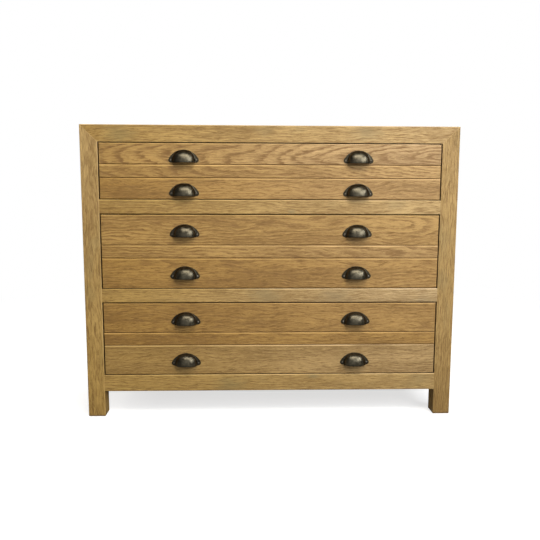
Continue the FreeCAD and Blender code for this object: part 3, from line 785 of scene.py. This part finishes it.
def pull_mesh(name, node):
    """A cast cup: a quarter dome that flows into a flange with an ear at each end."""
    low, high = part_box(node)
    origin = Vector(((low.x + high.x) / 2, high.y, low.z))
    half_width = (high.x - low.x) / 2
    height = high.z - low.z
    reach = high.y - low.y
    half_columns = 30
    dome_rows = 18
    flange_rows = 8
    made = bmesh.new()
    lip_flange_mask = made.verts.layers.float.new(LIP_FLANGE_SHADE)
    rows = []
    for row in range(dome_rows + flange_rows + 1):
        line = []
        for column in range(2 * half_columns + 1):
            share = column / half_columns
            mirror = 1 if share <= 1 else -1
            edge, turn = flange_edge(min(share, 2 - share), half_width, height)
            lift = math.pi / 2 * min(row / dome_rows, 1)
            span = math.cos(turn) ** (2 / OUTLINE)
            climb = math.sin(turn) ** (2 / OUTLINE) * math.sin(lift)
            outwards = max((row - dome_rows) / flange_rows, 0)
            x = DOME_HALF_WIDTH * span
            z = (height - DOME_MARGIN) * climb
            x += (edge[0] - x) * outwards
            z += (edge[1] - z) * outwards
            aside = (span**OUTLINE + climb**OUTLINE) ** (1 / OUTLINE)
            out = reach * max(1 - aside**FULLNESS, 0) ** (1 / FULLNESS) - FILLET * outwards
            depth = min(smooth_larger(out, WALL, FILLET), reach)
            vertex = made.verts.new(origin + Vector((mirror * x, -depth, z)))
            # Painted shade mask: 1 on the flange and at the foot of the lip, fading out over the dome.
            vertex[lip_flange_mask] = max(min(3 * outwards, 1), min(max(1.4 - z / LIP_SHADE, 0), 1))
            line.append(vertex)
        rows.append(line)
    for lower, upper in zip(rows, rows[1:]):
        for i in range(2 * half_columns):
            made.faces.new((lower[i], lower[i + 1], upper[i + 1], upper[i]))
    bmesh.ops.remove_doubles(made, verts=made.verts, dist=0.00002)
    bmesh.ops.recalc_face_normals(made, faces=made.faces)
    mesh = bpy.data.meshes.new(name)
    made.to_mesh(mesh)
    made.free()
    if sum(polygon.normal.y for polygon in mesh.polygons) > 0:
        mesh.flip_normals()
    mesh.shade_smooth()
    return mesh


def make_pulls(bronze):
    for name in DRAWERS:
        for row in ("high", "low"):
            for side in SIDES:
                node = f"{name}_drawer_{row}_{side}_pull"
                mesh = pull_mesh(f"{name}_{row}_{side}_cup", node)
                mesh.materials.append(bronze)
                cup = bpy.data.objects.new(f"{name}_{row}_{side}_cup", mesh)
                bpy.context.scene.collection.objects.link(cup)
                wall = cup.modifiers.new("wall", "SOLIDIFY")
                wall.thickness = WALL
                wall.offset = -1
                ease = cup.modifiers.new("ease", "BEVEL")
                ease.width = 0.45 * MM
                ease.segments = 2
                ease.limit_method = "ANGLE"
                ease.angle_limit = math.radians(50)
                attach(cup, f"{name}_drawer")
                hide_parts(node)


# ---------------------------------------------------------------- screws


def make_screw_tree():
    """Geometry nodes that set a slotted round-headed screw at every point, each turned its own way.

    Every screw points along -Y, away from the wood; its shank runs back along +Y.
    """
    tree = bpy.data.node_groups.new("slotted_screws", "GeometryNodeTree")
    tree.interface.new_socket("Places", in_out="INPUT", socket_type="NodeSocketGeometry")
    sizes = {"Head Radius": 3.2 * MM, "Head Height": 1.9 * MM, "Shank Length": 15.6 * MM}
    for label, value in sizes.items():
        tree.interface.new_socket(label, in_out="INPUT", socket_type=FLOAT).default_value = value
    tree.interface.new_socket("Seed", in_out="INPUT", socket_type="NodeSocketInt").default_value = 1
    tree.interface.new_socket("Metal", in_out="INPUT", socket_type="NodeSocketMaterial")
    tree.interface.new_socket("Screws", in_out="OUTPUT", socket_type="NodeSocketGeometry")
    build = Tree(tree)
    given = build.add("NodeGroupInput").outputs
    radius = given["Head Radius"]
    rise = given["Head Height"]

    ball = build.add("GeometryNodeMeshUVSphere", {"Segments": 28, "Rings": 16, "Radius": 1.0})
    dome = build.add(
        "GeometryNodeTransform",
        {"Geometry": ball.outputs["Mesh"], "Scale": build.join(radius, radius, rise)},
    )
    slot_size = build.join(
        build.calc("MULTIPLY", radius, 2.4), build.calc("MULTIPLY", radius, 0.26), rise
    )
    slot = build.add("GeometryNodeMeshCube", {"Size": slot_size})
    slot_height = build.join(0.0, 0.0, rise)
    raised = build.add(
        "GeometryNodeTransform", {"Geometry": slot.outputs["Mesh"], "Translation": slot_height}
    )
    cut = build.add("GeometryNodeMeshBoolean", operation="DIFFERENCE")
    build.feed(cut.inputs["Mesh 1"], dome.outputs[0])
    build.tree.links.new(raised.outputs[0], cut.inputs["Mesh 2"])
    spot = build.split(build.add("GeometryNodeInputPosition").outputs[0])
    flat = build.join(spot[0], spot[1], build.calc("MAXIMUM", spot[2], 0.0))
    head = build.add("GeometryNodeSetPosition", {"Geometry": cut.outputs[0], "Position": flat})
    shank = build.add(
        "GeometryNodeMeshCylinder",
        {
            "Vertices": 16, "Radius": build.calc("MULTIPLY", radius, 0.5625),
            "Depth": given["Shank Length"],
        },
    )
    behind = build.join(0.0, 0.0, build.calc("MULTIPLY", given["Shank Length"], -0.5))
    sunk = build.add("GeometryNodeTransform", {"Geometry": shank.outputs[0], "Translation": behind})
    screw = build.add("GeometryNodeJoinGeometry")
    build.tree.links.new(head.outputs[0], screw.inputs[0])
    build.tree.links.new(sunk.outputs[0], screw.inputs[0])

    spin = build.add("FunctionNodeRandomValue", {"Seed": given["Seed"]}, data_type="FLOAT")
    spin.inputs[2].default_value = -1.2
    spin.inputs[3].default_value = 1.2
    turn = build.join(math.pi / 2, 0.0, 0.0)
    spun = build.join(0.0, 0.0, spin.outputs[1])
    upright = build.add("FunctionNodeEulerToRotation", {0: turn})
    about = build.add("FunctionNodeEulerToRotation", {0: spun})
    both = build.add("FunctionNodeRotateRotation", {0: upright.outputs[0], 1: about.outputs[0]})
    both.rotation_space = "LOCAL"
    placed = build.add(
        "GeometryNodeInstanceOnPoints",
        {"Points": given["Places"], "Instance": screw.outputs[0], "Rotation": both.outputs[0]},
    )
    solid = build.add("GeometryNodeRealizeInstances", {0: placed.outputs[0]})
    finished = build.add(
        "GeometryNodeSetMaterial", {"Geometry": solid.outputs[0], "Material": given["Metal"]}
    )
    leave = build.add("NodeGroupOutput")
    build.feed(leave.inputs[0], finished.outputs[0])
    return tree


def grow(name, places, tree, values):
    """Runs a geometry-nodes tree on a set of points, and keeps what it makes as a plain mesh."""
    points = bpy.data.meshes.new(f"{name}_places")
    points.from_pydata([tuple(place) for place in places], [], [])
    seedling = bpy.data.objects.new(f"{name}_places", points)
    bpy.context.scene.collection.objects.link(seedling)
    modifier = seedling.modifiers.new("grow", "NODES")
    modifier.node_group = tree
    for item in tree.interface.items_tree:
        if item.in_out == "INPUT" and item.name in values:
            modifier[item.identifier] = values[item.name]
    grown = seedling.evaluated_get(bpy.context.evaluated_depsgraph_get())
    mesh = bpy.data.meshes.new_from_object(grown)
    mesh.name = name
    made = bpy.data.objects.new(name, mesh)
    bpy.context.scene.collection.objects.link(made)
    bpy.data.objects.remove(seedling)
    return made


SCREW_INSET = 8 * MM


def make_pull_screws(tree, metal):
    for number, name in enumerate(DRAWERS):
        places = []
        for row in ("high", "low"):
            for side in SIDES:
                low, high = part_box(f"{name}_drawer_{row}_{side}_pull")
                for x in (low.x + SCREW_INSET, high.x - SCREW_INSET):
                    places.append((x, high.y - WALL, low.z + SCREW_INSET))
        screws = grow(f"{name}_pull_screw_set", places, tree, {"Seed": 5 + number, "Metal": metal})
        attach(screws, f"{name}_drawer")
        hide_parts(f"{name}_drawer_pull_screws")


make_oak_grain()
make_oak_finish()
make_tarnish()
make_camera()
make_lights()
make_floor()
finish_frame()
finish_fronts()
finish_panels()
finish_inside()
finish_metals()
bronze = metal_material(
    "antique_bronze", (0.072, 0.062, 0.043, 1), (0.114, 0.099, 0.068, 1), 0.30, polish=0.35, hollow_shade=0.90,
    rim=(0.26, 0.24, 0.21, 1),
)
screw_metal = metal_material(
    "screw_metal", (0.15, 0.13, 0.10, 1), (0.25, 0.22, 0.18, 1), 0.32, hollow_shade=0.8,
)
make_pull_screws(make_screw_tree(), screw_metal)
make_pulls(bronze)
